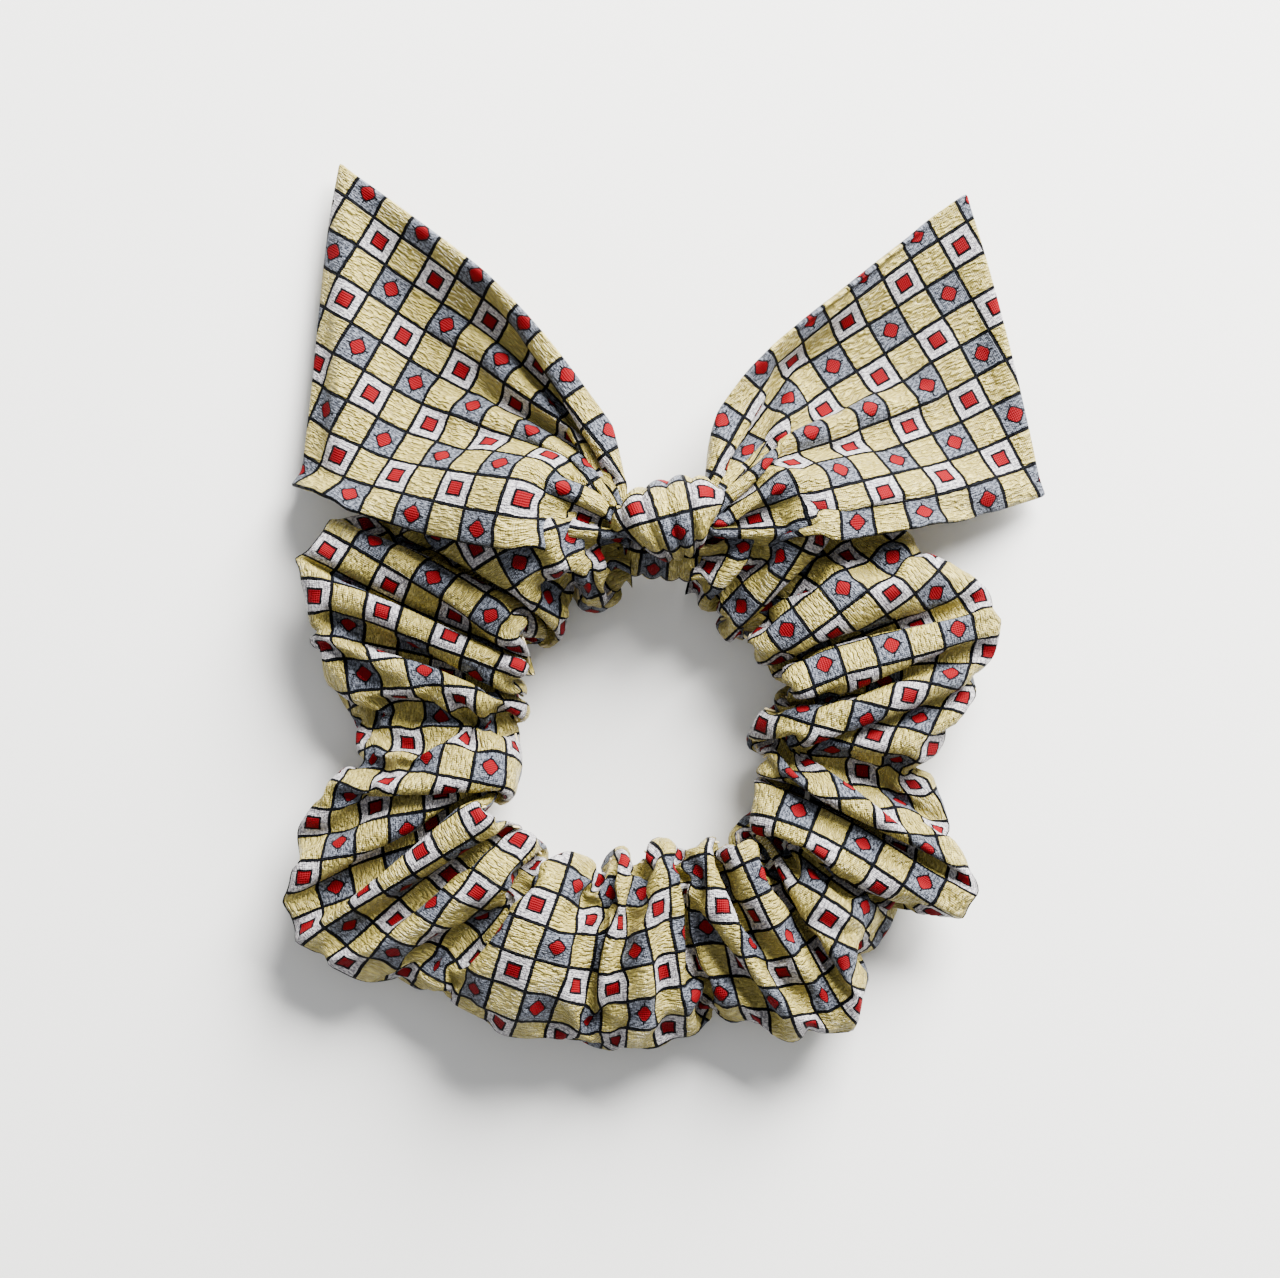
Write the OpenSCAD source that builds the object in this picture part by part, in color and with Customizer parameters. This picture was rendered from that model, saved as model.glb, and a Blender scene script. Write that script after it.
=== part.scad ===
// Gathered fabric hair scrunchie with a knotted two-tail bow, lying flat.
// The casing is a sewn fabric tube gathered over a flat elastic loop. A pointed sash is tied round it in a knot.
// Millimetres, +Z up. The origin is the middle of the hair opening, on the surface that the scrunchie lies on.
// +Y points from the opening towards the bow.

/* [Hair opening] */
// Radius of the relaxed opening that hair passes through
opening_r = 21; // [19:0.5:24]
// Lowest point of the opening's straight wall
wall_z_low = 3.5; // [3:0.5:4]
// Highest point of the opening's straight wall
wall_z_high = 11; // [10:0.5:11.5]

/* [Casing] */
// Thickness of the casing's doubled-over fabric wall
wall = 1.1; // [0.8:0.1:1.4]
// Height of the gathered pinch between two puffs
pinch_h = 12.8; // [12:0.2:14]
// Outer radius of the ring at a pinch
pinch_r = 40; // [38:0.5:42]
// Gap between neighbouring puffs, so that each can move
puff_gap = 0.3; // [0.2:0.1:0.6]
// Steps along each puff
puff_steps = 8; // [6:2:12]

/* [Elastic] */
// Mean radius of the relaxed elastic loop
elastic_r = 30; // [29.8:0.1:30.2]
// Width of the flat elastic
elastic_w = 6; // [4:0.5:6]
// Thickness of the flat elastic
elastic_t = 1; // [0.6:0.1:1.2]
// Length over which the elastic's two ends overlap
elastic_overlap = 11; // [8:1:14]

/* [Bow] */
// Angle round the ring at which the bow is tied
bow_angle = 84; // [84:1:84]
// Distance of the bow's tie from the ring's axis
tie_r = 29.6; // [29.4:0.1:29.8]
// Height of the tie above the surface
tie_z = 7.5; // [7.5:0.1:7.8]
// Outer radius of the casing where the bow squeezes it
neck_r = 4.6; // [4.6:0.1:4.8]
// Running clearance between the casing and the bow's wrap
neck_clearance = 0.06; // [0.04:0.01:0.1]
// Width of the bow's wrap along the casing
wrap_w = 11; // [8:0.5:11]
// Thickness of the bow's wrap
wrap_t = 1.3; // [1:0.1:1.3]
// Thickness of a bow tail, two layers of fabric and the air between them
tail_t = 2.4; // [2:0.1:3]
// Downward slope of the tails, from the knot to their tips
tail_slope = 11; // [9:0.5:12]

/* [Threads] */
// Radius of the sewing thread
thread_r = 0.2; // [0.15:0.05:0.25]
// Length of one stitch
stitch = 2.4; // [2:0.2:3]

/* [Hidden] */
$fn = 64;
// Angles of the pinches, from the bow's left side round to its right side, in degrees.
pinches = [100, 133, 165, 197, 227, 257, 282, 314, 346, 375, 402, 428];
puffs = len(pinches) - 1;
// How far each puff reaches from the ring's axis, and how high it stands.
reach = [45, 60, 49, 64, 54, 53, 58, 59, 53, 57, 47];
rise = [12.4, 13.4, 16, 17, 17, 17, 17, 17, 16, 15.5, 12.4];
// The closing seam lies on this puff, counted from 0.
closing_puff = 4;
// The elastic's ends overlap at this angle, inside the lowest puff.
join_angle = 269.5;

neck_wall = 1;
wrap_in_r = neck_r + neck_clearance;
wrap_out_r = wrap_in_r + wrap_t;
neck_half_angle = 16;
flare_start = wrap_w / 2 + 0.35;
flare_r = 6.3;
flare_len = 6;

// Hinge points and directions of the two tails. Each direction points along the tail, away from the knot.
tail_z = 16.5;
left_hinge = [-8.5, 34];
left_dir = 147;
right_hinge = [14.8, 33.4];
right_dir = 28.3;
barrel_r = 2.2;
barrel_len = 7;

// Outlines of the tails seen from above, point by point round the edge.
left_outline = [
    [-11, 37], [-8, 42], [-8.2, 47.5], [-11, 54], [-15.8, 61.6], [-22.8, 70.6], [-31.9, 78.4],
    [-41.7, 85.7], [-50.5, 92.6], [-54.2, 70.3], [-57.5, 48.7], [-58.3, 39.6], [-52.5, 37],
    [-40.8, 33.6], [-27.5, 30.6], [-18, 29], [-12.8, 30]
];
right_outline = [
    [16.6, 36.4], [14, 41], [14, 46], [15.2, 52], [19.4, 59], [26.2, 65], [36, 72.6],
    [44.3, 80], [53, 88], [56.7, 75.3], [59.2, 63.7], [63.3, 50.3], [66.3, 37.6], [59.2, 35.3],
    [42.5, 31.3], [28, 29], [21, 29], [18.6, 31]
];

function puff_name(i) = str("casing_puff_", i < 9 ? "0" : "", i + 1);

cloth = [0.80, 0.72, 0.48];
cloth_shade = [0.74, 0.66, 0.42];
elastic_white = [0.93, 0.92, 0.88];
thread_colour = [0.86, 0.80, 0.60];

// ---------- geometry of the casing ----------

function mix(a, b, s) = a + (b - a) * s;
function clamped(s) = min(1, max(0, s));

// Points of a quarter of an ellipse about centre c, from angle a0, with radii rx and rz.
function quarter(c, rx, rz, a0, steps) =
    [for (k = [0:steps - 1]) c + [rx * cos(a0 + 90 * k / steps), rz * sin(a0 + 90 * k / steps)]];

// The casing's section, as [radius, height] points. f runs from 0 at a pinch to 1 at a puff's crest,
// and inset moves the whole outline inwards by the wall's thickness.
function section(f, r_out, h, inset) =
    let (
        lo = opening_r + inset,
        hi = mix(pinch_r, r_out, f) - inset,
        base = mix(1.5, 0, clamped(3 * f)) + inset,
        top = mix(pinch_h, h, f) - inset,
        z1 = wall_z_low + inset * 0.4,
        z2 = wall_z_high - inset * 0.4,
        mid = mix(lo, hi, 0.5),
        belly = mix(base, top, 0.45),
        foot = min(4, (hi - lo) / 4)
    )
    concat(
        quarter([lo + foot, z1], foot, z1 - base, 180, 3),
        [[lo + foot, base]],
        quarter([hi - 1.6 * foot, belly], 1.6 * foot, belly - base, 270, 4),
        quarter([mid, belly], hi - mid, top - belly, 0, 5),
        quarter([mid, z2], mid - lo, top - z2, 90, 5),
        [[lo, z2]]
    );

// The share of a puff's fullness at s, which runs from -1 to 1 across the puff.
function fullness(s) = pow(max(0, 1 - pow(abs(s), 2.2)), 0.6);

function turned(p, angle) = [p[0] * cos(angle), p[0] * sin(angle), p[1]];

// A sleeve with an outer and an inner skin, open at both ends, as one closed polyhedron.
module sleeve(a0, a1, r_out, h) {
    n = puff_steps;
    m = len(section(1, r_out, h, 0));
    skins = [for (inset = [0, wall]) for (i = [0:n])
        let (s = sin(90 * (-1 + 2 * i / n)))
        for (p = section(fullness(s), r_out, h, inset)) turned(p, mix(a0, a1, (1 + s) / 2))];
    function at(skin, i, j) = (skin * (n + 1) + i) * m + (j % m);
    sides = [for (i = [0:n - 1]) for (j = [0:m - 1]) each [
        [at(0, i, j), at(0, i + 1, j + 1), at(0, i + 1, j)],
        [at(0, i, j), at(0, i, j + 1), at(0, i + 1, j + 1)],
        [at(1, i, j), at(1, i + 1, j), at(1, i + 1, j + 1)],
        [at(1, i, j), at(1, i + 1, j + 1), at(1, i, j + 1)]
    ]];
    ends = [for (j = [0:m - 1]) each [
        [at(0, 0, j), at(1, 0, j + 1), at(0, 0, j + 1)],
        [at(0, 0, j), at(1, 0, j), at(1, 0, j + 1)],
        [at(0, n, j), at(0, n, j + 1), at(1, n, j + 1)],
        [at(0, n, j), at(1, n, j + 1), at(1, n, j)]
    ]];
    polyhedron(points = skins, faces = concat(sides, ends), convexity = 6);
}

// One puff of the gathered casing, with a straight inner wall and a flat underside.
module casing_puff(i) {
    half_gap = puff_gap / 2 / pinch_r * 180 / PI * 1.4;
    color(i % 2 == 0 ? cloth : cloth_shade)
    sleeve(pinches[i] + half_gap, pinches[i + 1] - half_gap, reach[i], rise[i]);
}

// Places children with +Z along the casing where the bow is tied, and +X pointing down.
module at_tie() {
    rotate([0, 0, bow_angle - 90]) translate([0, tie_r, tie_z]) rotate([0, 90, 0]) children();
}

// The slice of the ring between the two pinches beside the bow.
module tie_slice() {
    gap = puff_gap / 2 / tie_r * 180 / PI * 1.4;
    a0 = bow_angle - neck_half_angle + gap;
    a1 = bow_angle + neck_half_angle - gap;
    translate([0, 0, -1]) linear_extrude(30)
        polygon([[0, 0], [60 * cos(a0), 60 * sin(a0)], [60 * cos(a1), 60 * sin(a1)]]);
}

// The casing squeezed into a narrow tube under the bow, flaring at both ends.
module casing_neck() {
    color(cloth_shade)
    intersection() {
        at_tie() difference() {
            union() {
                cylinder(r = neck_r, h = 26, center = true);
                for (side = [0, 180]) rotate([side, 0, 0]) translate([0, 0, flare_start])
                    cylinder(r1 = neck_r, r2 = flare_r, h = flare_len);
            }
            cylinder(r = neck_r - neck_wall, h = 30, center = true);
            for (side = [0, 180]) rotate([side, 0, 0]) translate([0, 0, flare_start + 0.8])
                cylinder(r1 = neck_r - neck_wall, r2 = flare_r - neck_wall + 0.2, h = flare_len);
        }
        tie_slice();
    }
}

// ---------- threads ----------

// A straight stitch from p to q.
module stitch_between(p, q) {
    d = q - p;
    len_pq = norm(d);
    translate(p) rotate([0, acos(d[2] / len_pq), atan2(d[1], d[0])])
        cylinder(r = thread_r, h = len_pq, $fn = 16);
}

// The long seam's stitches, on the inside of the casing along the opening's wall.
module casing_seam_thread() {
    seam_r = opening_r + wall + 1.2;
    step = (stitch + 0.6) / seam_r * 180 / PI;
    span = stitch / seam_r * 180 / PI;
    first = pinches[0] + 3;
    count = floor((pinches[puffs] - pinches[0] - 6) / step);
    color(thread_colour)
    for (k = [0:count - 1]) let (a = first + k * step)
        stitch_between([seam_r * cos(a), seam_r * sin(a), tie_z],
                       [seam_r * cos(a + span), seam_r * sin(a + span), tie_z]);
}

// Hand stitches over the top of one puff, where the casing's two ends are sewn together.
module casing_closing_thread() {
    a = (pinches[closing_puff] + pinches[closing_puff + 1]) / 2 + 0.01;
    lift = thread_r + 0.4;
    pts = section(1, reach[closing_puff] + lift, rise[closing_puff] + lift, 0);
    lean = 1.6;
    color(thread_colour)
    for (j = [9:16]) let (p = pts[j], q = pts[j + 1])
        stitch_between(turned(mix(p, q, 0.15), a - lean), turned(mix(p, q, 0.85), a - lean));
}

// Zigzag stitches through the elastic's overlapped ends, as they show on its outside.
module elastic_join_thread() {
    r = elastic_r + elastic_t * 1.5 + thread_r + 0.05;
    half = elastic_overlap / 2 / r * 180 / PI;
    turns = 12;
    color(thread_colour)
    for (k = [0:turns - 1])
        let (a = join_angle - half * 0.8 + k * half * 1.6 / turns, b = a + half * 1.6 / turns,
             dz = (k % 2 == 0 ? -1 : 1) * elastic_w * 0.36,
             p = [r * cos(a), r * sin(a), tie_z + dz], q = [r * cos(b), r * sin(b), tie_z - dz])
        stitch_between(mix(p, q, 0.12), mix(p, q, 0.88));
}

// ---------- elastic ----------

// The flat elastic loop, with its two ends overlapped.
module elastic_band() {
    half = elastic_overlap / 2 / elastic_r * 180 / PI;
    color(elastic_white) union() {
        rotate_extrude($fn = 128) translate([elastic_r - elastic_t / 2, tie_z - elastic_w / 2])
            square([elastic_t, elastic_w]);
        rotate([0, 0, join_angle - half]) rotate_extrude(angle = 2 * half)
            translate([elastic_r, tie_z - elastic_w / 2 + 0.2])
                square([elastic_t * 1.5, elastic_w - 0.4]);
    }
}

// ---------- bow ----------

// The part of the sash that goes round the casing.
module sash_wrap() {
    color(cloth)
    at_tie() difference() {
        cylinder(r = wrap_out_r, h = wrap_w, center = true);
        cylinder(r = wrap_in_r, h = wrap_w + 2, center = true);
    }
}

// The knot that sits on the wrap: a rounded body with one strand crossing over it.
module sash_knot() {
    color(cloth_shade)
    difference() {
        at_tie() union() {
            hull() {
                translate([-9.8, 2.2, -4.4]) sphere(r = 4.3, $fn = 24);
                translate([-9.8, 2.6, 4.6]) sphere(r = 4.3, $fn = 24);
                translate([-8, 6.4, 1.4]) sphere(r = 3.6, $fn = 24);
                translate([-7.5, -3.2, -1.2]) sphere(r = 3.4, $fn = 24);
            }
            translate([-9.4, 1.8, 0]) rotate([0, 0, 90]) rotate([0, 52, 0])
                rotate_extrude($fn = 48) translate([5.2, 0]) circle(r = 1.7, $fn = 24);
        }
        at_tie() cylinder(r = wrap_out_r + 0.02, h = 40, center = true);
    }
}

// Tips a tail's drawing, made in the ring's own X and Y, down towards the surface from its hinge.
module sloped(hinge) {
    translate([hinge[0], hinge[1], tail_z]) rotate([-tail_slope, 0, 0])
        translate([-hinge[0], -hinge[1], 0]) children();
}

// One hollow, two-layer tail with a rounded root on its hinge line.
module tail(outline, hinge, dir) {
    skin = 0.7;
    union() {
        sloped(hinge) difference() {
            translate([0, 0, -tail_t / 2]) linear_extrude(tail_t) polygon(outline);
            translate([0, 0, -tail_t / 2 + skin]) linear_extrude(tail_t - 2 * skin)
                offset(delta = -1.4) polygon(outline);
        }
        tail_root(hinge, dir);
    }
}

// The tail's gathered root: a short tube along the hinge line, joined to the tail by a web.
module tail_root(hinge, dir) {
    translate([hinge[0], hinge[1], tail_z]) rotate([0, 0, dir]) {
        rotate([90, 0, 0]) cylinder(r = barrel_r, h = barrel_len, center = true);
        translate([0, -2.8, -tail_t / 2]) cube([6, 5.6, tail_t]);
    }
}

module sash_tail_left() {
    color(cloth) tail(left_outline, left_hinge, left_dir);
}

module sash_tail_right() {
    color(cloth) tail(right_outline, right_hinge, right_dir);
}

// Seam stitches inside a tail, along the straight runs between the outline's points from first to last.
module tail_seam(outline, hinge, first, last, inward) {
    color(thread_colour)
    sloped(hinge)
    for (k = [first:last - 1])
        let (p = outline[k] + inward, q = outline[k + 1] + inward, n = floor(norm(q - p) / (stitch + 0.6)))
        for (i = [0:max(0, n - 1)])
            let (a = mix(p, q, (i + 0.1) / max(1, n)), b = mix(p, q, (i + 0.85) / max(1, n)))
            stitch_between([a[0], a[1], 0], [b[0], b[1], 0]);
}

module tail_left_seam_thread() {
    tail_seam(left_outline, left_hinge, 11, 15, [3, 2.8]);
}

module tail_right_seam_thread() {
    tail_seam(right_outline, right_hinge, 12, 15, [-3, 2.8]);
}

// ---------- nodes ----------

for (i = [0:puffs - 1])
    casing_puff(i);
casing_neck();
casing_seam_thread();
casing_closing_thread();
elastic_band();
elastic_join_thread();
sash_wrap();
sash_knot();
sash_tail_left();
sash_tail_right();
tail_left_seam_thread();
tail_right_seam_thread();
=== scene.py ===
import math

import bpy
import numpy as np
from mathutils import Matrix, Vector


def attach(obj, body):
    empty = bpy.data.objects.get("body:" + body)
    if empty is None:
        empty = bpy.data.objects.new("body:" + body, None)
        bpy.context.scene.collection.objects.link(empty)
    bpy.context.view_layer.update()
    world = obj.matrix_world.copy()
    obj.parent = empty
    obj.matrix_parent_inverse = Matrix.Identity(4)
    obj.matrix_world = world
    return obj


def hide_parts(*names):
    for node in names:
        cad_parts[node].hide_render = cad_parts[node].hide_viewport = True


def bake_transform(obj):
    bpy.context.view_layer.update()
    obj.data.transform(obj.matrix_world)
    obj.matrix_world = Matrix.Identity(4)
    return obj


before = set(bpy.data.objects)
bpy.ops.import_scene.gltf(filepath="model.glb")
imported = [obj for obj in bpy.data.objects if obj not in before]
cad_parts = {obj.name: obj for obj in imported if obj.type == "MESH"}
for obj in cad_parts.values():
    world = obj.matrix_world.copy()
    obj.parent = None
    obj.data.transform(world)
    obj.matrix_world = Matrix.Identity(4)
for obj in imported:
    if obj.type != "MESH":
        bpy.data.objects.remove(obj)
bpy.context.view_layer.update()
MM = 0.001
scene = bpy.context.scene

# ---------------------------------------------------------------- camera

TARGET = (-0.0008, 0.0138, 0.0)
CAMERA_HEIGHT = 0.62
FIELD = 0.2133
camera_data = bpy.data.cameras.new("camera")
camera_data.sensor_width = 36.0
camera_data.lens = 36.0 * CAMERA_HEIGHT / FIELD
camera = bpy.data.objects.new("camera", camera_data)
camera.location = (TARGET[0], TARGET[1], CAMERA_HEIGHT)
scene.collection.objects.link(camera)
scene.camera = camera

# ---------------------------------------------------------------- materials


class Nodes:
    """A small helper that builds a shader from Python expressions."""

    def __init__(self, material):
        material.use_nodes = True
        self.tree = material.node_tree
        self.shader = self.tree.nodes["Principled BSDF"]

    def node(self, kind, **values):
        n = self.tree.nodes.new(kind)
        for key, value in values.items():
            setattr(n, key, value)
        return n

    def feed(self, socket, value):
        if isinstance(value, bpy.types.NodeSocket):
            self.tree.links.new(value, socket)
        else:
            socket.default_value = value

    def math(self, operation, *terms):
        n = self.node("ShaderNodeMath", operation=operation)
        for socket, value in zip(n.inputs, terms):
            self.feed(socket, value)
        return n.outputs[0]

    def ramp(self, value, low, high):
        """0 below low, 1 above high, smooth between."""
        n = self.node("ShaderNodeMapRange", interpolation_type="SMOOTHSTEP")
        for socket, v in zip(n.inputs, (value, low, high, 0.0, 1.0)):
            self.feed(socket, v)
        return n.outputs[0]

    def mix(self, share, a, b):
        n = self.node("ShaderNodeMix", data_type="RGBA")
        self.feed(n.inputs[0], share)
        for socket, value in ((n.inputs[6], a), (n.inputs[7], b)):
            if isinstance(value, tuple) and len(value) == 3:
                value = (*value, 1.0)
            self.feed(socket, value)
        return n.outputs[2]

    def blend(self, share, a, b):
        n = self.node("ShaderNodeMix", data_type="FLOAT")
        for socket, value in ((n.inputs[0], share), (n.inputs[2], a), (n.inputs[3], b)):
            self.feed(socket, value)
        return n.outputs[0]

    def noise(self, vector, scale, detail=2.0, rough=0.5):
        n = self.node("ShaderNodeTexNoise")
        self.feed(n.inputs["Vector"], vector)
        n.inputs["Scale"].default_value = scale
        n.inputs["Detail"].default_value = detail
        n.inputs["Roughness"].default_value = rough
        return n.outputs[0]

    def mapped(self, vector, angle=0.0, scale=(1.0, 1.0, 1.0)):
        n = self.node("ShaderNodeMapping")
        self.feed(n.inputs["Vector"], vector)
        n.inputs["Rotation"].default_value = (0.0, 0.0, math.radians(angle))
        n.inputs["Scale"].default_value = scale
        return n.outputs[0]


GOLD = (0.450, 0.370, 0.090)
# gold in painted shade, laid between the embossed strokes, and also the colour of the cloth's random darker patches
GOLD_SHADE_AND_TONE = (0.135, 0.100, 0.019)
GREY = (0.018, 0.022, 0.032)
GREY_LIGHT = (0.145, 0.160, 0.200)
SILVER = (0.560, 0.540, 0.545)
SILVER_DARK = (0.170, 0.160, 0.180)
RED = (0.140, 0.001, 0.004)
NAVY = (0.001, 0.0015, 0.003)


def jacquard(name):
    """Satin jacquard: a checker of plain gold squares and two kinds of red motif. The UVs count squares of 5.75 mm."""
    material = bpy.data.materials.new(name)
    n = Nodes(material)
    uv = n.node("ShaderNodeUVMap", uv_map="UVMap").outputs[0]
    wobble = n.node("ShaderNodeTexNoise")
    n.feed(wobble.inputs["Vector"], uv)
    wobble.inputs["Scale"].default_value = 5.0
    wobble.inputs["Detail"].default_value = 3.0
    shift = n.node("ShaderNodeVectorMath", operation="MULTIPLY_ADD")
    n.feed(shift.inputs[0], wobble.outputs["Color"])
    shift.inputs[1].default_value = (0.055, 0.055, 0.0)
    n.feed(shift.inputs[2], uv)
    parts = n.node("ShaderNodeSeparateXYZ")
    n.feed(parts.inputs[0], shift.outputs[0])
    u, v = parts.outputs[0], parts.outputs[1]
    fu = n.math("SUBTRACT", n.math("FRACT", u), 0.5)
    fv = n.math("SUBTRACT", n.math("FRACT", v), 0.5)
    iu, iv = n.math("FLOOR", u), n.math("FLOOR", v)
    au, av = n.math("ABSOLUTE", fu), n.math("ABSOLUTE", fv)
    far = n.math("MAXIMUM", au, av)
    near = n.math("MINIMUM", au, av)
    diamond = n.math("ADD", au, av)
    odd = n.math("FLOORED_MODULO", n.math("ADD", iu, iv), 2.0)
    kind = n.math("FLOORED_MODULO", iu, 2.0)
    line = n.ramp(far, 0.441, 0.461)

    # embossed strokes of the plain squares, in two directions that change from place to place; the gold between the
    # raised strokes is painted darker as painted shade, so the strokes stand out lighter
    strokes = n.noise(n.mapped(uv, 32.0, (3.6, 12.0, 1.0)), 1.0, 1.5)
    strokes_b = n.noise(n.mapped(uv, -62.0, (3.6, 11.0, 1.0)), 1.0, 1.5)
    patch = n.ramp(n.noise(uv, 2.3, 1.0), 0.44, 0.56)
    stroke = n.ramp(n.blend(patch, strokes, strokes_b), 0.40, 0.62)
    fleck = n.noise(n.mapped(uv, 0.0, (9.0, 17.0, 1.0)), 1.0, 2.0, 0.7)
    fleck_on = n.ramp(fleck, 0.42, 0.60)

    # red square on silver, ringed in navy
    square_red = n.math("SUBTRACT", 1.0, n.ramp(far, 0.170, 0.190))
    square_ring = n.math("SUBTRACT", 1.0, n.ramp(far, 0.232, 0.250))
    silver = n.mix(fleck_on, SILVER_DARK, SILVER)
    square = n.mix(square_red, n.mix(square_ring, silver, NAVY), RED)
    # red diamond on speckled grey, ringed in navy, with four small spikes
    body = n.math("MAXIMUM", diamond, n.math("MULTIPLY", far, 1.22))
    star_red = n.math("SUBTRACT", 1.0, n.ramp(body, 0.252, 0.272))
    star_ring = n.math("SUBTRACT", 1.0, n.ramp(body, 0.310, 0.330))
    spike = n.math("MULTIPLY", n.math("SUBTRACT", 1.0, n.ramp(near, 0.018, 0.030)),
                   n.math("SUBTRACT", 1.0, n.ramp(far, 0.345, 0.360)))
    grey = n.mix(fleck_on, GREY, GREY_LIGHT)
    star = n.mix(star_red, n.mix(n.math("MAXIMUM", star_ring, spike), grey, NAVY), RED)

    # painted shade: the low gold between the raised strokes takes the shaded gold colour, mixed in at 0.55 on the next
    # line
    gold = n.mix(stroke, GOLD_SHADE_AND_TONE, GOLD)
    gold = n.mix(0.55, GOLD, gold)
    # random tone: large patches of the gold a little darker
    tone = n.noise(uv, 0.35, 2.0)
    gold = n.mix(n.math("MULTIPLY", n.ramp(tone, 0.35, 0.75), 0.16), gold, GOLD_SHADE_AND_TONE)
    colour = n.mix(line, n.mix(odd, n.mix(kind, star, square), gold), NAVY)
    n.feed(n.shader.inputs["Base Color"], colour)

    # satin threads: fine ribs along and across the cloth
    rib_u = n.math("SINE", n.math("MULTIPLY", u, 118.0))
    rib_v = n.math("SINE", n.math("MULTIPLY", v, 96.0))
    weave = n.math("ADD", n.math("MULTIPLY", rib_u, 0.5), n.math("MULTIPLY", rib_v, 0.5))
    red_cover = n.math("MULTIPLY", n.math("SUBTRACT", 1.0, odd), n.blend(kind, star_red, square_red))
    figure = n.math("MULTIPLY", n.math("SUBTRACT", 1.0, odd),
                    n.blend(kind, n.math("MAXIMUM", star_ring, spike), square_ring))
    dull = n.math("MAXIMUM", line, figure)
    plain = n.math("MULTIPLY", n.blend(odd, fleck, stroke), n.math("SUBTRACT", 1.0, red_cover))
    height = n.math("ADD", n.math("MULTIPLY", plain, 0.9), n.math("MULTIPLY", red_cover, 0.9))
    height = n.math("SUBTRACT", height, n.math("MULTIPLY", line, 0.7))
    height = n.math("ADD", height, n.math("MULTIPLY", weave, 0.10))
    bump = n.node("ShaderNodeBump")
    bump.inputs["Strength"].default_value = 1.0
    bump.inputs["Distance"].default_value = 0.0005
    n.feed(bump.inputs["Height"], height)
    n.feed(n.shader.inputs["Normal"], bump.outputs[0])
    n.feed(n.shader.inputs["Roughness"], n.blend(dull, n.blend(odd, 0.38, 0.30), 0.55))
    n.feed(n.shader.inputs["Specular IOR Level"], n.blend(dull, n.blend(odd, 0.25, 0.5), 0.05))
    n.shader.inputs["Sheen Weight"].default_value = 0.005
    n.shader.inputs["Sheen Roughness"].default_value = 0.35
    n.shader.inputs["Sheen Tint"].default_value = (1.0, 0.95, 0.80, 1.0)
    return material


def plain(name, colour, roughness, rib=0.0):
    material = bpy.data.materials.new(name)
    n = Nodes(material)
    n.shader.inputs["Base Color"].default_value = (*colour, 1.0)
    n.shader.inputs["Roughness"].default_value = roughness
    if rib:
        where = n.node("ShaderNodeTexCoord").outputs["Object"]
        wave = n.node("ShaderNodeTexWave")
        n.feed(wave.inputs["Vector"], where)
        wave.inputs["Scale"].default_value = rib
        wave.inputs["Distortion"].default_value = 1.5
        bump = n.node("ShaderNodeBump")
        bump.inputs["Strength"].default_value = 0.4
        bump.inputs["Distance"].default_value = 0.0001
        n.feed(bump.inputs["Height"], wave.outputs[1])
        n.feed(n.shader.inputs["Normal"], bump.outputs[0])
    return material


CLOTH = jacquard("satin_jacquard")
THREAD = plain("thread", (0.62, 0.52, 0.28), 0.7, 1400.0)
ELASTIC = plain("elastic", (0.86, 0.84, 0.78), 0.75, 900.0)
CELL = 5.75

# ---------------------------------------------------------------- helpers


def make_mesh(name, points_mm, faces, uvs, material):
    """A smooth piece from points in millimetres, with one UV pair for every face corner."""
    mesh = bpy.data.meshes.new(name)
    mesh.from_pydata((np.asarray(points_mm) * MM).tolist(), [], faces)
    if uvs is not None:
        layer = mesh.uv_layers.new(name="UVMap")
        layer.data.foreach_set("uv", np.asarray(uvs, np.float32).ravel())
    mesh.polygons.foreach_set("use_smooth", [True] * len(mesh.polygons))
    mesh.materials.append(material)
    obj = bpy.data.objects.new(name, mesh)
    scene.collection.objects.link(obj)
    return obj


def grid_faces(rows, columns, closed):
    """Quads of a rows by columns grid, and the (row, column) of each face corner, uncut across the closed seam."""
    faces, corners = [], []
    for i in range(rows - 1):
        for j in range(columns if closed else columns - 1):
            k = (j + 1) % columns
            faces.append((i * columns + j, i * columns + k, (i + 1) * columns + k, (i + 1) * columns + j))
            corners += [(i, j), (i, j + 1), (i + 1, j + 1), (i + 1, j)]
    return faces, np.array(corners)


def applied(obj):
    """The object's mesh with its modifiers applied, as a new mesh on the same object."""
    depsgraph = bpy.context.evaluated_depsgraph_get()
    mesh = bpy.data.meshes.new_from_object(obj.evaluated_get(depsgraph))
    obj.modifiers.clear()
    if obj.data.shape_keys:
        obj.shape_key_clear()
    old = obj.data
    obj.data = mesh
    bpy.data.meshes.remove(old)
    return obj


def positions(mesh):
    out = np.zeros(len(mesh.vertices) * 3)
    mesh.vertices.foreach_get("co", out)
    return out.reshape(-1, 3)


def subdivided(obj):
    """Smooths the object by one subdivision that still passes close to its own points, so folds keep their depth."""
    obj.modifiers.new("smooth", "SUBSURF").levels = 1
    drawn = positions(obj.data)
    smooth = positions(obj.evaluated_get(bpy.context.evaluated_depsgraph_get()).data)[:len(drawn)]
    obj.data.vertices.foreach_set("co", (drawn + 0.9 * (drawn - smooth)).ravel())
    obj.data.update()
    return applied(obj)


def eased(x, xs, ys):
    """Cosine interpolation through (xs, ys), which keeps each value a crest, a valley or a shelf."""
    xs, ys = np.asarray(xs, float), np.asarray(ys, float)
    k = np.clip(np.searchsorted(xs, x) - 1, 0, len(xs) - 2)
    t = np.clip((x - xs[k]) / (xs[k + 1] - xs[k]), 0, 1)
    t = (1 - np.cos(np.pi * t)) / 2
    return ys[k] * (1 - t) + ys[k + 1] * t


# ---------------------------------------------------------------- casing cloth

CASING_LENGTH, CASING_ROUND = 460.0, 80.0
ROWS, COLUMNS = 228, 42
FIRST, LAST = 95.0, 433.0
TIE_R, TIE_Z = 29.6, 7.5
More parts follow.
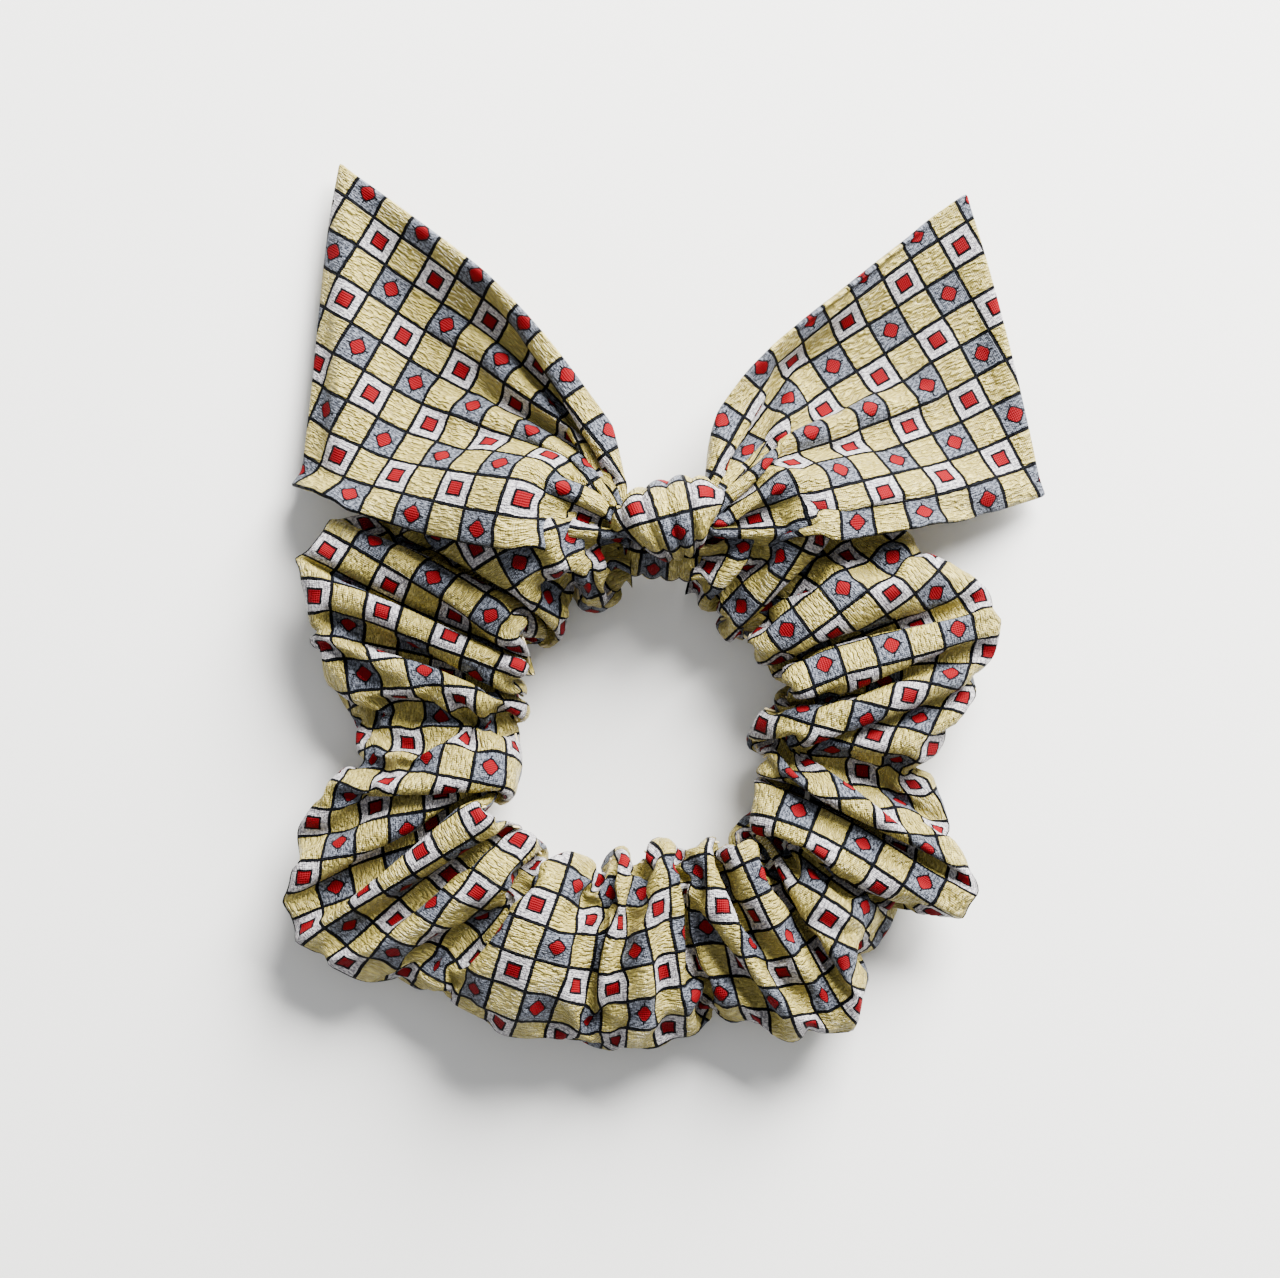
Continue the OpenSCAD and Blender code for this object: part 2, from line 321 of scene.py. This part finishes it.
# angle round the ring, outer radius and height of the gathered casing, in degrees and millimetres
LOBES = [
    (95, 35, 9), (104, 39, 12), (118, 44, 13), (130, 46, 11), (147.7, 62, 15), (155, 63.8, 17), (166, 57.5, 14),
    (174, 52.8, 11), (180, 45.8, 9), (191, 46.3, 11), (197, 60.2, 14), (206, 66.9, 17), (212, 68, 17),
    (217, 65.8, 16), (233, 54.5, 10), (242, 55.2, 16), (252, 54, 17), (261, 52.8, 11), (264, 54.6, 14),
    (270, 54, 16), (276, 52.5, 13), (283, 47.6, 8), (286, 51.6, 12), (294.5, 58.2, 17), (304.7, 61.4, 17),
    (313, 52.2, 10), (322, 49.7, 8), (328, 61.8, 16), (333, 61.7, 16), (338, 53, 11), (349.5, 44, 9),
    (354.5, 48.5, 13), (365, 55, 15), (376, 61.2, 17), (381, 60.8, 16), (393, 52.7, 13), (408, 48, 12),
    (422, 42, 11), (433, 36, 9),
]
# angle and radius of the opening's edge
INNER = [
    (95, 26), (107, 25), (128, 23.5), (146, 20), (160, 19), (175, 21), (192, 22), (211, 25), (233, 28),
    (252, 25), (282, 21), (300, 24), (316, 27), (330, 20), (350, 18), (368, 23), (388, 22), (410, 22), (433, 25),
]


def casing_layout():
    """Where each row of the casing's cloth starts: its angle, radii and height."""
    angles = np.linspace(FIRST, LAST, 4001)
    reach = eased(angles, [p[0] for p in LOBES], [p[1] for p in LOBES])
    edge = np.stack([reach * np.cos(np.radians(angles)), reach * np.sin(np.radians(angles))])
    along = np.concatenate([[0.0], np.cumsum(np.hypot(*np.diff(edge, axis=1)))])
    row_angle = np.interp(np.linspace(0, 1, ROWS + 1), along / along[-1], angles)
    outer = eased(row_angle, [p[0] for p in LOBES], [p[1] for p in LOBES])
    height = eased(row_angle, [p[0] for p in LOBES], [p[2] for p in LOBES])
    inner = eased(row_angle, [p[0] for p in INNER], [p[1] for p in INNER])
    return row_angle, outer, height, inner


def casing_points():
    """Gathers the casing by cloth simulation. Returns (rows + 1, columns, 3) points in millimetres."""
    rng = np.random.default_rng(7)
    row_angle, outer, height, inner = casing_layout()
    v = np.arange(COLUMNS) / COLUMNS
    phi = 2 * np.pi * v + np.pi
    cos_phi, sin_phi = np.cos(phi), np.sin(phi)
    edges = [0.0]
    while edges[-1] < CASING_LENGTH:
        edges.append(edges[-1] + rng.uniform(14.0, 27.0))
    material_u = np.linspace(0, CASING_LENGTH, ROWS + 1)
    phase = np.interp(material_u, edges, np.arange(len(edges)))
    pins = {int(round(e / CASING_LENGTH * ROWS)) for e in edges[1:-1]}
    points = np.zeros((ROWS + 1, COLUMNS, 3))
    for i in range(ROWS + 1):
        a = math.radians(row_angle[i])
        middle, half = (outer[i] + inner[i]) / 2, (outer[i] - inner[i]) / 2
        r = middle + half * np.sign(cos_phi) * np.abs(cos_phi) ** 0.75
        z = height[i] / 2 * (1 + np.sign(sin_phi) * np.abs(sin_phi) ** 0.75) + 0.6
        k = min(1.0, min(i, ROWS - i) / 7.0)
        k = k * k * (3 - 2 * k)
        end = 5.2 + 2.3 * np.cos(8 * phi)
        r = (TIE_R + end * cos_phi) * (1 - k) + r * k
        z = (TIE_Z + end * sin_phi) * (1 - k) + z * k
        inward = (1 - cos_phi) / 2
        depth = min(1.0, min(i, ROWS - i) / 16.0) * (4.6 * inward**1.3 + 1.4 * inward)
        depth = depth * (1 - math.cos(2 * math.pi * phase[i])) / 2
        r = r + cos_phi * depth
        z = z + np.where(sin_phi < 0, -0.5, 1.0) * sin_phi * depth
        points[i] = np.stack([r * math.cos(a), r * math.sin(a), z], axis=1)
    points += rng.normal(0, 0.12, points.shape)
    points[..., 2] = np.maximum(points[..., 2], 0.5)
    rest = np.zeros_like(points)
    rest[..., 0] = material_u[:, None]
    rest[..., 1] = CASING_ROUND / (2 * np.pi) * np.cos(2 * np.pi * v)
    rest[..., 2] = CASING_ROUND / (2 * np.pi) * np.sin(2 * np.pi * v)
    held = [j for j in range(COLUMNS)] + [ROWS * COLUMNS + j for j in range(COLUMNS)] + [i * COLUMNS for i in pins]
    for before, lobe, after in zip(LOBES, LOBES[1:], LOBES[2:]):
        row = int(np.abs(row_angle - lobe[0]).argmin())
        held.append(row * COLUMNS + COLUMNS // 2)
        if lobe[1] < min(before[1], after[1]):
            held += [row * COLUMNS + int(share * COLUMNS) for share in (0.58, 0.66, 0.74, 0.82)]
    return settle(points, rest, True, held, 24, pressed=PRESSED, pressure=0.3)


SIM_SCALE = 20.0
# height of the flat plate that keeps the gathered casing from standing up while it settles
PRESSED = 23.0


def sim_object(name, points_mm, faces):
    mesh = bpy.data.meshes.new(name)
    mesh.from_pydata((np.asarray(points_mm, float).reshape(-1, 3) * MM * SIM_SCALE).tolist(), [], faces)
    obj = bpy.data.objects.new(name, mesh)
    scene.collection.objects.link(obj)
    return obj


def settle(points, rest, closed, held, frames, pressed=None, pressure=0.0, gap=0.5, obstacle=None):
    """Lets a grid of cloth settle on the floor or the obstacle, 20 times full size. Returns its points."""
    cloth = sim_object("settling", points, grid_faces(points.shape[0], points.shape[1], closed)[0])
    cloth.shape_key_add(name="start")
    flat = cloth.shape_key_add(name="flat")
    flat.data.foreach_set("co", rest.ravel() * MM * SIM_SCALE)
    group = cloth.vertex_groups.new(name="held")
    group.add(held, 1.0, "REPLACE")
    corners = np.array([(-150, -150, 0), (150, -150, 0), (150, 150, 0), (-150, 150, 0)])
    solids = [obstacle or (corners, [(0, 1, 2, 3)])]
    if pressed:
        solids.append((corners + np.array([0, 0, pressed]), [(3, 2, 1, 0)]))
    solids = [sim_object("settling_solid", p, f) for p, f in solids]
    for solid in solids:
        solid.modifiers.new("collision", "COLLISION")
        solid.collision.thickness_outer = gap * MM * SIM_SCALE
        solid.collision.cloth_friction = 15
    # the cloth modifier only reads its rest shape behind a modifier that makes a new mesh
    split = cloth.modifiers.new("same", "EDGE_SPLIT")
    split.use_edge_angle = split.use_edge_sharp = False
    modifier = cloth.modifiers.new("cloth", "CLOTH")
    s = modifier.settings
    s.quality = 8
    s.mass = 0.25
    s.air_damping = 3
    s.tension_stiffness = s.compression_stiffness = 150
    s.shear_stiffness = 40
    s.bending_stiffness = 1.2
    s.tension_damping = s.compression_damping = s.shear_damping = 10
    s.bending_damping = 2
    s.vertex_group_mass = "held"
    s.pin_stiffness = 5
    s.rest_shape_key = flat
    s.use_pressure = pressure > 0
    s.uniform_pressure_force = pressure
    c = modifier.collision_settings
    c.use_self_collision = closed
    c.self_distance_min = 0.6 * MM * SIM_SCALE
    c.distance_min = gap * MM * SIM_SCALE
    c.collision_quality = 3
    c.self_friction = 5
    modifier.point_cache.frame_start = 1
    modifier.point_cache.frame_end = frames + 1
    for f in range(1, frames + 1):
        scene.frame_set(f)
    evaluated = cloth.evaluated_get(bpy.context.evaluated_depsgraph_get())
    out = np.zeros(points.size)
    evaluated.data.vertices.foreach_get("co", out)
    for obj in (cloth, *solids):
        data = obj.data
        bpy.data.objects.remove(obj)
        bpy.data.meshes.remove(data)
    scene.frame_set(1)
    return out.reshape(points.shape) / (MM * SIM_SCALE)


CHAIN = [
    ("puff_06", "puff_05", "stretch"), ("puff_05", "puff_04", "stretch_puff_04"),
    ("puff_04", "puff_03", "stretch_puff_03"), ("puff_03", "puff_02", "stretch_puff_02"),
    ("puff_02", "puff_01", "stretch_puff_01"), ("puff_01", "neck", "stretch_neck"),
    ("puff_06", "puff_07", "stretch_puff_07"), ("puff_07", "puff_08", "stretch_puff_08"),
    ("puff_08", "puff_09", "stretch_puff_09"), ("puff_09", "puff_10", "stretch_puff_10"),
    ("puff_10", "puff_11", "stretch_puff_11"),
]
PINCHES = [100, 133, 165, 197, 227, 257, 282, 314, 346, 375, 402, 428]
BODY_ANGLE = {f"puff_{i + 1:02d}": (PINCHES[i] + PINCHES[i + 1]) / 2 for i in range(11)}
BODY_ANGLE["neck"] = 84.0


def sectors(last):
    """Each stretch of the ring between two bodies, then the one from puff_11 to the angle last, on puff_11 alone."""
    out = []
    for a, b, joint in CHAIN:
        low, high = sorted((BODY_ANGLE[a], BODY_ANGLE[b]))
        out.append((a, b, low, high, joint))
    out.append(("puff_11", None, BODY_ANGLE["puff_11"], last, None))
    return out


def bend(obj, a, b):
    """Leaves a piece of the ring between two bodies in place, with its placement baked into its mesh, or rides it on
    the first.
    """
    if b is None:
        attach(obj, a)
        return
    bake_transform(obj)


def angle_of(points):
    """Angle round the ring from just before the bow's left side, in degrees from 84 to 444."""
    a = np.degrees(np.arctan2(points[:, 1], points[:, 0]))
    return (a - 84.0) % 360.0 + 84.0


def picked(source, keep, name, material):
    """A copy of the faces in keep, with the whole mesh's normals, so that the cut doesn't show."""
    mesh = source.data
    used = sorted({v for p in keep for v in mesh.polygons[p].vertices})
    index = {v: k for k, v in enumerate(used)}
    points = np.array([mesh.vertices[v].co for v in used]) / MM
    faces = [[index[v] for v in mesh.polygons[p].vertices] for p in keep]
    layer = mesh.uv_layers["UVMap"].data
    uvs = [tuple(layer[k].uv) for p in keep for k in mesh.polygons[p].loop_indices]
    obj = make_mesh(name, points, faces, uvs, material)
    normals = [mesh.vertices[v].normal for v in used]
    obj.data.normals_split_custom_set_from_vertices([tuple(x) for x in normals])
    return obj


def node_of(body):
    return "casing_neck" if body == "neck" else "casing_" + body


def make_casing():
    points = casing_points()
    faces, corners = grid_faces(ROWS + 1, COLUMNS, True)
    uvs = corners * np.array([CASING_LENGTH / ROWS / CELL, CASING_ROUND / COLUMNS / CELL])
    whole = subdivided(make_mesh("casing_whole", points.reshape(-1, 3), faces, uvs, CLOTH))
    mesh = whole.data
    centres = np.zeros(len(mesh.polygons) * 3)
    mesh.polygons.foreach_get("center", centres)
    angles = angle_of(centres.reshape(-1, 3))
    for k, (a, b, low, high, joint) in enumerate(sectors(444.0)):
        keep = [int(p) for p in np.nonzero((angles >= low) & (angles < high))[0]]
        piece = picked(whole, keep, f"casing_fabric_{k + 1:02d}", CLOTH)
        bend(piece, a, b)
        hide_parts(*(node_of(body) for body in (a, b) if body))
        area = uv_area(piece) * CELL * CELL
    bpy.data.objects.remove(whole)
    return points


def uv_area(obj):
    """Area of a mesh in its UVs, in squares of the pattern."""
    layer = obj.data.uv_layers["UVMap"].data
    total = 0.0
    for p in obj.data.polygons:
        c = [layer[k].uv for k in p.loop_indices]
        pairs = zip(c, c[1:] + c[:1])
        total += abs(sum(a[0] * b[1] - b[0] * a[1] for a, b in pairs)) / 2
    return total


casing = make_casing()


def ring_point(angle, radius, z):
    a = math.radians(angle)
    return np.array([radius * math.cos(a), radius * math.sin(a), z])


def tube(name, spine, across, up, radii, material, u_scale=1.0, sides=28):
    """A tube along spine. across and up are unit vectors of each section, and radii its radius or radii there."""
    spine, across, up = (np.asarray(x, float) for x in (spine, across, up))
    turn = 2 * np.pi * np.arange(sides) / sides
    radii = np.asarray(radii, float)
    if radii.ndim == 1:
        radii = radii[:, None] * np.ones(sides)
    points = (spine[:, None] + radii[..., None] * (np.cos(turn)[:, None] * across[:, None]
                                                   + np.sin(turn)[:, None] * up[:, None]))
    faces, corners = grid_faces(len(spine), sides, True)
    length = np.concatenate([[0], np.cumsum(np.linalg.norm(np.diff(spine, axis=0), axis=1))])
    step = 2 * np.pi * radii.mean() / sides
    uvs = np.stack([length[corners[:, 0]] * u_scale, corners[:, 1] * step], axis=1) / CELL
    return make_mesh(name, points.reshape(-1, 3), faces, uvs, material)


def neck_tube(name, low, high, radius, pleat):
    """A gathered tube of casing round the elastic, along the ring from angle low to angle high."""
    angles = np.linspace(low, high, 24)
    spine = [ring_point(a, TIE_R, TIE_Z) for a in angles]
    across = [ring_point(a, 1.0, 0.0) for a in angles]
    up = [(0, 0, 1)] * len(angles)
    turn = 2 * np.pi * np.arange(72) / 72
    radii = radius + pleat * np.abs(np.sin(4.5 * turn))[None, :] + np.zeros((len(angles), 1))
    obj = tube(name, spine, across, up, radii, CLOTH, 1.6, 72)
    return obj


neck = neck_tube("casing_neck_tube", 71.0, 97.0, 3.9, 0.35)
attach(neck, "neck")
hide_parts("casing_neck")
tuck = neck_tube("casing_tuck_tube", 64.0, 108.0, 3.2, 0.3)
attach(tuck, "puff_11")
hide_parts("casing_puff_11")

# ---------------------------------------------------------------- elastic and threads


ELASTIC_Z = 3.4


def section_middle(angle):
    """Radius and height of the elastic inside the casing at an angle round the ring, in millimetres."""
    flat = casing.reshape(-1, 3)
    near = flat[np.abs(angle_of(flat) - angle) < 1.6]
    if len(near) < 8:
        return TIE_R, TIE_Z
    inner = np.percentile(np.hypot(near[:, 0], near[:, 1]), 4)
    return inner + 6.0, ELASTIC_Z


def elastic_line():
    """The stretched elastic inside the casing: its angle, radius and height all round."""
    angles = np.arange(84.0, 444.5, 1.5)
    line = np.array([section_middle(a) for a in angles])
    line[:, 0] = np.max([np.roll(line[:, 0], k) for k in range(-3, 4)], axis=0)
    for _ in range(6):
        line = (np.roll(line, 1, axis=0) + 2 * line + np.roll(line, -1, axis=0)) / 4
        line[0] = line[-1] = (TIE_R, TIE_Z)
    return angles, line


def make_elastic():
    angles, line = elastic_line()
    width, thick = 4.8, 0.9
    for k, (a, b, low, high, joint) in enumerate(sectors(468.0)):
        at = np.linspace(low, high, 26)
        r = np.interp(at, angles, line[:, 0])
        z = np.interp(at, angles, line[:, 1])
        if b is None:
            r = np.where(at > 436, TIE_R - 0.4, r)
        corners = [(x * thick / 2, y * width / 2) for x, y in ((-1, -1), (1, -1), (1, 1), (-1, 1))]
        points = [ring_point(at[i], r[i] + dr, z[i] + dz) for i in range(len(at)) for dr, dz in corners]
        faces, _ = grid_faces(len(at), 4, True)
        faces += [(3, 2, 1, 0), tuple(len(points) - 4 + c for c in range(4))]
        piece = make_mesh(f"elastic_arc_{k + 1:02d}", points, faces, None, ELASTIC)
        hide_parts("elastic_band")
        bend(piece, a, b)


def stitches(name, pairs, radius=0.2):
    """Short round stitches between pairs of points, as one piece."""
    points, faces = [], []
    for p, q in pairs:
        p, q = np.asarray(p, float), np.asarray(q, float)
        along = (q - p) / np.linalg.norm(q - p)
        side = np.cross(along, (0.0, 0.0, 1.0) if abs(along[2]) < 0.9 else (1.0, 0.0, 0.0))
        side /= np.linalg.norm(side)
        other = np.cross(along, side)
        base = len(points)
        for share, size in ((0.0, 0.35), (0.12, 1.0), (0.88, 1.0), (1.0, 0.35)):
            for j in range(6):
                turn = math.pi * j / 3
                points.append(p + (q - p) * share + radius * size * (math.cos(turn) * side + math.sin(turn) * other))
        for i in range(3):
            for j in range(6):
                k = (j + 1) % 6
                faces.append(tuple(base + x for x in (6 * i + j, 6 * i + 6 + j, 6 * i + 6 + k, 6 * i + k)))
        faces += [tuple(base + j for j in range(6)), tuple(base + 18 + j for j in range(5, -1, -1))]
    obj = make_mesh(name, points, faces, None, THREAD)
    return obj


def make_casing_threads():
    line = casing[:, 0].copy()
    away = line[:, :2] / np.linalg.norm(line[:, :2], axis=1)[:, None]
    line[:, :2] += away * 0.7
    pairs = [(line[i], line[i + 1]) for i in range(2, ROWS - 2) if i % 2 == 0]
    middles = angle_of(np.array([(p + q) / 2 for p, q in pairs]))
    for a, b, low, high, joint in sectors(444.0):
        chosen = [pairs[i] for i in np.nonzero((middles >= low) & (middles < high))[0]]
        piece = stitches(f"casing_seam_{a}_{b}" if b else f"casing_seam_{a}", chosen)
        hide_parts("casing_seam_thread")
        bend(piece, a, b)
    # the closing seam runs round the inside of the tube where its two ends were sewn together
    centre = np.array([ring_point(a, 38.0, 7.0) for a in angle_of(casing.mean(axis=1))])
    row = int(np.abs(angle_of(casing.mean(axis=1)) - BODY_ANGLE["puff_05"]).argmin())
    loop = casing[row] + 0.06 * (centre[row] - casing[row])
    piece = stitches("casing_closing_seam", [(loop[j], loop[j + 1]) for j in range(2, COLUMNS - 2, 2)])
    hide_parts("casing_closing_thread")
    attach(piece, "puff_05")


make_elastic()
make_casing_threads()
angles, line = elastic_line()
join_r = float(np.interp(BODY_ANGLE["puff_06"], angles, line[:, 0])) + 0.7
zigzag = [ring_point(BODY_ANGLE["puff_06"] + 0.9 * (k - 6), join_r, ELASTIC_Z + (1.7 if k % 2 else -1.7))
          for k in range(13)]
join = stitches("elastic_join", list(zip(zigzag[:-1], zigzag[1:])))
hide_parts("elastic_join_thread")
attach(join, "puff_06")

# ---------------------------------------------------------------- bow

TAIL_WIDTH = 50.0
# cloth that shows on the knot and on the wrap: its width across the pleats and its length round one turn
KNOT_CUT = (19.0, 39.0)
WRAP_CUT = (15.0, 34.0)
KNOT = np.array([4.2, 33.2, 15.0])
LEFT_LOWER = [(-2.5, 31), (-5.5, 29), (-14.2, 27), (-27.5, 28.7), (-40.8, 32), (-52.5, 35.8), (-58.7, 39)]
LEFT_UPPER = [(-1.8, 35.5), (-4.2, 37.5), (-3.4, 42), (-4, 47), (-9.2, 53.7), (-15, 62), (-22.5, 71.2), (-31.7, 78.7),
              (-41.7, 86.2), (-50.7, 93.2)]
RIGHT_LOWER = [(10.5, 31.5), (13, 28.4), (25.8, 28.7), (42.5, 31.2), (59.2, 35.3), (66.7, 37.5)]
RIGHT_UPPER = [(10, 36), (10.4, 40.3), (9.9, 45.3), (12.5, 52.8), (18.3, 59.5), (25.8, 65.3), (35.8, 72.8),
               (44.2, 80.3), (53.5, 88)]


def along_line(points, shares):
    """Points at the given shares of a drawn line's length."""
    points = np.asarray(points, float)
    run = np.concatenate([[0], np.cumsum(np.linalg.norm(np.diff(points, axis=0), axis=1))])
    return np.stack([np.interp(shares * run[-1], run, points[:, k]) for k in range(2)], axis=-1), run[-1]


def landscape():
    """The floor and the ring's top as one height field, lowered beside the knot."""
    xs, ys = np.arange(-80.0, 82.0, 2.0), np.arange(10.0, 112.0, 2.0)
    height = np.zeros((len(xs), len(ys)))
    flat = casing.reshape(-1, 3)
    ix = np.clip(((flat[:, 0] - xs[0]) / 2 + 0.5).astype(int), 0, len(xs) - 1)
    iy = ((flat[:, 1] - ys[0]) / 2 + 0.5).astype(int)
    inside = (iy >= 0) & (iy < len(ys))
    np.maximum.at(height, (ix[inside], iy[inside]), flat[inside, 2])
    for _ in range(2):
        padded = np.pad(height, 1, mode="edge")
        height = np.max([padded[i:i + len(xs), j:j + len(ys)] for i in range(3) for j in range(3)], axis=0)
    for _ in range(2):
        padded = np.pad(height, 1, mode="edge")
        height = np.mean([padded[i:i + len(xs), j:j + len(ys)] for i in range(3) for j in range(3)], axis=0)
    away = np.hypot(xs[:, None] - KNOT[0], ys[None, :] - KNOT[1])
    height = np.minimum(height, np.maximum(0, 8.0 + (away - 12.0) * 0.9))
    height = np.where(ys[None, :] < 24.0, 0.0, height)
    points = np.stack([*np.meshgrid(xs, ys, indexing="ij"), height], axis=2)
    upward = [face[::-1] for face in grid_faces(len(xs), len(ys), False)[0]]
    return xs, ys, height, (points, upward)


def height_at(field, x, y):
    xs, ys, height, _ = field
    i = np.clip((x - xs[0]) / 2, 0, len(xs) - 1.001)
    j = np.clip((y - ys[0]) / 2, 0, len(ys) - 1.001)
    a, b = i.astype(int), j.astype(int)
    u, v = i - a, j - b
    return (height[a, b] * (1 - u) * (1 - v) + height[a + 1, b] * u * (1 - v)
            + height[a, b + 1] * (1 - u) * v + height[a + 1, b + 1] * u * v)


FIELD_UNDER_TAILS = landscape()


def make_tail(side, lower, upper, pleats):
    """One tail: a folded strip, draped over the ring, with a stitched seam along one edge."""
    ns, nt = 44, 36
    s = np.linspace(0, 1, ns)
    t = np.linspace(0, 1, nt)
    low, low_length = along_line(lower, s)
    top, top_length = along_line(upper, s)
    chord = np.linalg.norm(top - low, axis=1)
    fold = np.minimum(4.6, np.sqrt(np.maximum(0, TAIL_WIDTH**2 - chord**2)) / (2 * pleats))
    fold *= np.clip((1.15 - s) / 0.5, 0, 1)
    points = np.zeros((ns, nt, 3))
    points[..., :2] = low[:, None] * (1 - t)[None, :, None] + top[:, None] * t[None, :, None]
    drawn = np.interp(s, [0, 0.3, 1], [12.5, 14.0, 3.0])[:, None] * np.ones(nt)
    under = height_at(FIELD_UNDER_TAILS, points[..., 0], points[..., 1]) + 1.9
    points[..., 2] = np.where(s[:, None] < 0.1, drawn, np.maximum(drawn, under))
    points[..., 2] += fold[:, None] * (1 - np.cos(2 * np.pi * pleats * t))[None, :] / 2
    rest = np.zeros_like(points)
    rest[..., 0] = s[:, None] * (low_length * (1 - t) + top_length * t)[None, :]
    rest[..., 1] = TAIL_WIDTH * t
    held = list(range(2 * nt)) + [(ns - 1) * nt, ns * nt - 1]
    held += [int(share * ns) * nt + j for share in (0.2, 0.4, 0.6, 0.8) for j in (0, nt - 1)]
    settled = settle(points, rest, False, held, 20, gap=0.9, obstacle=FIELD_UNDER_TAILS[3])
    faces, corners = grid_faces(ns, nt, False)
    uvs = rest[corners[:, 0], corners[:, 1], :2] / CELL
    name = f"sash_tail_{side}"
    tail = make_mesh(name + "_fabric", settled.reshape(-1, 3), faces, uvs, CLOTH)
    layers = tail.modifiers.new("layers", "SOLIDIFY")
    layers.thickness = 1.1 * MM
    layers.offset = 0.0
    tail.modifiers.new("smooth", "SUBSURF").levels = 1
    applied(tail)
    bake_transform(tail)
    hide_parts(name)
    edge = settled[6:, 2]
    pairs = [(edge[i], edge[i + 1]) for i in range(0, len(edge) - 1, 2)]
    thread = stitches(f"tail_{side}_seam", pairs)
    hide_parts(f"tail_{side}_seam_thread")
    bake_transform(thread)


make_tail("left", LEFT_LOWER, LEFT_UPPER, 5)
make_tail("right", RIGHT_LOWER, RIGHT_UPPER, 5)


def make_knot():
    """The knot: pleated strips that lie side by side at the back and run together at the front."""
    turns, strips = 96, 90
    theta = 2 * np.pi * np.arange(turns) / turns
    q = np.linspace(-1, 1, strips)
    q = np.sign(q) * np.abs(q) ** 0.85
    axis = np.array([math.cos(math.radians(15)), math.sin(math.radians(15)), 0.0])
    back = np.array([-axis[1], axis[0], 0.0])
    half = 7.4 + 2.6 * np.cos(theta - math.radians(35))
    points = np.zeros((strips, turns, 3))
    for i in range(strips):
        ridge = np.abs(np.cos(2.5 * np.pi * q[i] + 1.1 * np.sin(theta) + 0.5)) ** 0.7
        round_off = max(0.0, 1 - abs(q[i]) ** 2.8) ** 0.5
        r = 6.1 * round_off + 0.95 * (ridge - 0.5) * min(1.0, 1.3 * round_off) + 0.3
        along = half * q[i]
        points[i] = (KNOT + along[:, None] * axis + (r * np.cos(theta))[:, None] * back
                     + (r * np.sin(theta))[:, None] * np.array([0, 0, 1.0]))
    faces, corners = grid_faces(strips, turns, True)
    across = q[np.clip(corners[:, 0], 0, strips - 1)] * KNOT_CUT[0] / 2
    uvs = np.stack([corners[:, 1] * KNOT_CUT[1] / turns, across], axis=1)
    knot = make_mesh("sash_knot_fabric", points.reshape(-1, 3), faces, uvs / CELL + 0.35, CLOTH)
    layers = knot.modifiers.new("layers", "SOLIDIFY")
    layers.thickness = 0.5 * MM
    layers.offset = -1.0
    applied(knot)
    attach(knot, "bow")
    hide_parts("sash_knot")


def make_wrap():
    """The sash's turn round the casing, gathered into four pleats."""
    turns, rows = 72, 60
    psi = 2 * np.pi * np.arange(turns) / turns
    x = np.linspace(-1, 1, rows)
    middle = math.radians(84.0)
    out = np.array([math.cos(middle), math.sin(middle), 0.0])
    along = np.array([-out[1], out[0], 0.0])
    centre = out * TIE_R + np.array([0, 0, TIE_Z])
    points = np.zeros((rows, turns, 3))
    for i in range(rows):
        edge = max(0.0, 1 - abs(x[i]) ** 5)
        ridge = np.abs(np.sin(2.0 * np.pi * x[i] + 0.5 * np.sin(psi))) ** 0.7
        r = 4.5 + edge**0.5 * (0.75 + 0.8 * ridge)
        width = 5.6 * (1 - 0.10 * np.cos(psi))
        points[i] = (centre + (width * x[i])[:, None] * along + (r * np.cos(psi))[:, None] * out
                     + (r * np.sin(psi))[:, None] * np.array([0, 0, 1.0]))
    faces, corners = grid_faces(rows, turns, True)
    across = x[np.clip(corners[:, 0], 0, rows - 1)] * WRAP_CUT[0] / 2
    uvs = np.stack([corners[:, 1] * WRAP_CUT[1] / turns, across], axis=1)
    wrap = make_mesh("sash_wrap_fabric", points.reshape(-1, 3), faces, uvs / CELL + 0.2, CLOTH)
    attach(wrap, "bow")
    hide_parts("sash_wrap")


make_knot()
make_wrap()

# ---------------------------------------------------------------- stage and light


def area_light(name, place, size, power, colour=(1.0, 1.0, 1.0)):
    data = bpy.data.lights.new(name, "AREA")
    data.size = size
    data.energy = power
    data.color = colour
    light = bpy.data.objects.new(name, data)
    light.location = place
    direction = Vector((0.0, 0.015, 0.0)) - Vector(place)
    light.rotation_euler = direction.to_track_quat("-Z", "Y").to_euler()
    scene.collection.objects.link(light)


floor_mesh = bpy.data.meshes.new("stage_floor")
floor_mesh.from_pydata([(-3, -3, 0), (3, -3, 0), (3, 3, 0), (-3, 3, 0)], [], [(0, 1, 2, 3)])
stage_floor = bpy.data.objects.new("stage_floor", floor_mesh)
scene.collection.objects.link(stage_floor)
floor_mesh.materials.append(plain("paper", (0.90, 0.90, 0.885), 0.9))
area_light("window", (0.50, 0.90, 0.50), 0.75, 132.0, (1.0, 0.985, 0.96))
area_light("fill", (-0.7, -0.3, 0.9), 1.2, 1.0, (0.95, 0.97, 1.0))
world = bpy.data.worlds.new("world")
scene.world = world
world.use_nodes = True
world.node_tree.nodes["Background"].inputs[0].default_value = (0.97, 0.98, 1.0, 1.0)
world.node_tree.nodes["Background"].inputs[1].default_value = 0.50
